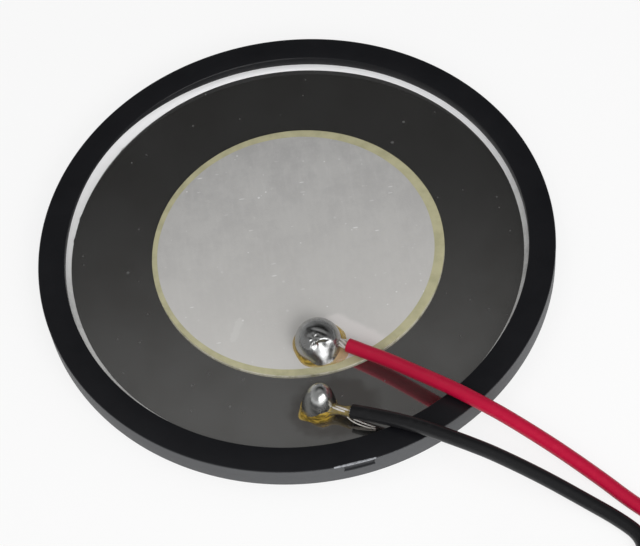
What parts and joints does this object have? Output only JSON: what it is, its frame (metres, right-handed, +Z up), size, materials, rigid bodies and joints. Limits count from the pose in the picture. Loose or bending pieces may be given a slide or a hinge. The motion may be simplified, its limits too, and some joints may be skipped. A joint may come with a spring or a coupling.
{
  "type": "piezo speaker",
  "caption": "Round bare piezo sounder: a ceramic disc on a steel diaphragm glued under the lip of a black ring, with a soldered red and a soldered black lead.",
  "frame": {"origin": "middle of the ring's underside, on the table", "axes": "+Z up, away from the table along the ring's axis; +Y away from the viewer; the leads leave towards +X and -Y"},
  "size_m": [0.0679, 0.0706, 0.0066],
  "materials": {
    "ring": "moulded black plastic with a soft gloss",
    "plate": "bright rolled steel sheet",
    "adhesive": "pale satin silicone",
    "cement": "thin clear epoxy",
    "electrode": "fired silver paste, matt",
    "ceramic": "olive grey piezoceramic",
    "solder": "bright tin solder",
    "flux": "amber flux residue",
    "strands": "tinned copper strands",
    "red_insulation": "soft red vinyl",
    "black_insulation": "soft black vinyl"
  },
  "bodies": {
    "root": {"frame_ring": "ring", "diaphragm_plate": "plate", "plate_bond": "adhesive", "adhesive_bead": "adhesive", "ceramic_bond": "cement", "lower_electrode": "electrode", "ceramic_disc": "ceramic", "upper_electrode": "electrode", "positive_solder_joint": "solder", "positive_flux": "flux", "negative_solder_joint": "solder", "negative_flux": "flux", "red_strands": "strands", "black_strands": "strands", "black_stray_strands": "strands", "red_lead": "red_insulation", "black_lead": "black_insulation", "red_lead_coil": "red_insulation", "black_lead_coil": "black_insulation", "red_tinned_end": "strands", "black_tinned_end": "strands"}
  },
  "joints": []
}
